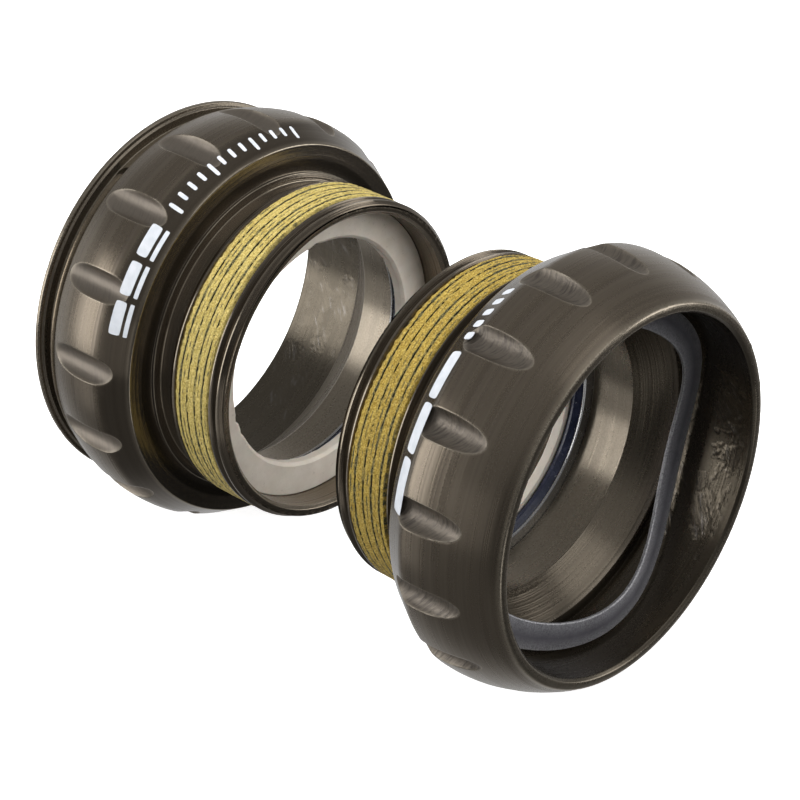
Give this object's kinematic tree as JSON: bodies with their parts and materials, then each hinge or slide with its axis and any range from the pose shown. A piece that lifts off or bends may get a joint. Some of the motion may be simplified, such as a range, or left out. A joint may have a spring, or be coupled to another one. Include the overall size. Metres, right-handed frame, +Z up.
{
  "type": "bottom bracket",
  "caption": "External bottom bracket in two threaded bearing cups with axle seals, a loose wave washer and a wire bearing clip.",
  "frame": {"origin": "on the spindle axis, at the outboard end of the drive-side cup's thread, 2.5 mm inboard of its seating face", "axes": "+Y along the spindle from the drive side to the left side, +X towards the front of the bicycle, +Z up"},
  "size_m": [0.0446, 0.0625, 0.0446],
  "materials": {
    "anodised_shell": "dark bronze hard-anodised turned aluminium, semi-gloss",
    "thread_coating": "dried granular thread-locking compound, matte",
    "seal_ring": "moulded cream plastic, satin",
    "axle_seal": "dark blue-black greased rubber, glossy",
    "seal_washer": "bright thin steel",
    "spring_steel": "dark blued spring steel, satin"
  },
  "bodies": {
    "drive_side": {"drive_cup": "anodised_shell", "drive_thread_coating": "thread_coating", "drive_seal_ring": "seal_ring", "drive_axle_seal": "axle_seal", "drive_seal_washer": "seal_washer", "bearing_clip": "spring_steel"},
    "left_side": {"left_cup": "anodised_shell", "left_thread_coating": "thread_coating", "left_seal_ring": "seal_ring", "left_axle_seal": "axle_seal", "left_seal_washer": "seal_washer"},
    "washer": {"wave_washer": "spring_steel"}
  },
  "joints": [
    {"name": "left_cup_slide", "type": "slide", "parent": "drive_side", "child": "left_side", "axis": [0, 1, 0], "range_m": [0, 0.0322]},
    {"name": "wave_washer_slide", "type": "slide", "parent": "left_side", "child": "washer", "axis": [0, 1, 0], "range_m": [0, 0.009]}
  ]
}
